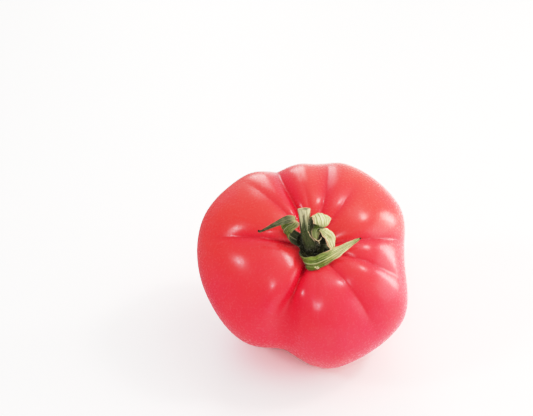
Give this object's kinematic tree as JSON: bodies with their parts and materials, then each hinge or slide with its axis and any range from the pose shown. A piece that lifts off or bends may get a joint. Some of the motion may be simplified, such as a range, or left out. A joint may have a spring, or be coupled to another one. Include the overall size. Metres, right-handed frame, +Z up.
{
  "type": "tomato",
  "caption": "Ripe, deeply ribbed pink tomato, resting tilted on a small flat spot, with a curled, half dried calyx and a cut stalk stub in its stem dimple.",
  "frame": {"origin": "under the middle of the whole tomato's box, on the surface that it stands on", "axes": "+Z up; the stem end leans forward by 35 degrees and looks towards -Y and a little to +X; the flat spot faces -Z"},
  "size_m": [0.0922, 0.094, 0.0783],
  "materials": {
    "skin": "thin, smooth, glossy ripe tomato skin, pink-red, deeper red in the creases",
    "calyx": "matt, hairy, half dried green leaf, paler along its edges and tips",
    "stem": "matt, ridged, hairy green stalk with a dry, pale cut end"
  },
  "bodies": {
    "root": {"fruit": "skin", "calyx": "calyx", "stem": "stem"}
  },
  "joints": []
}
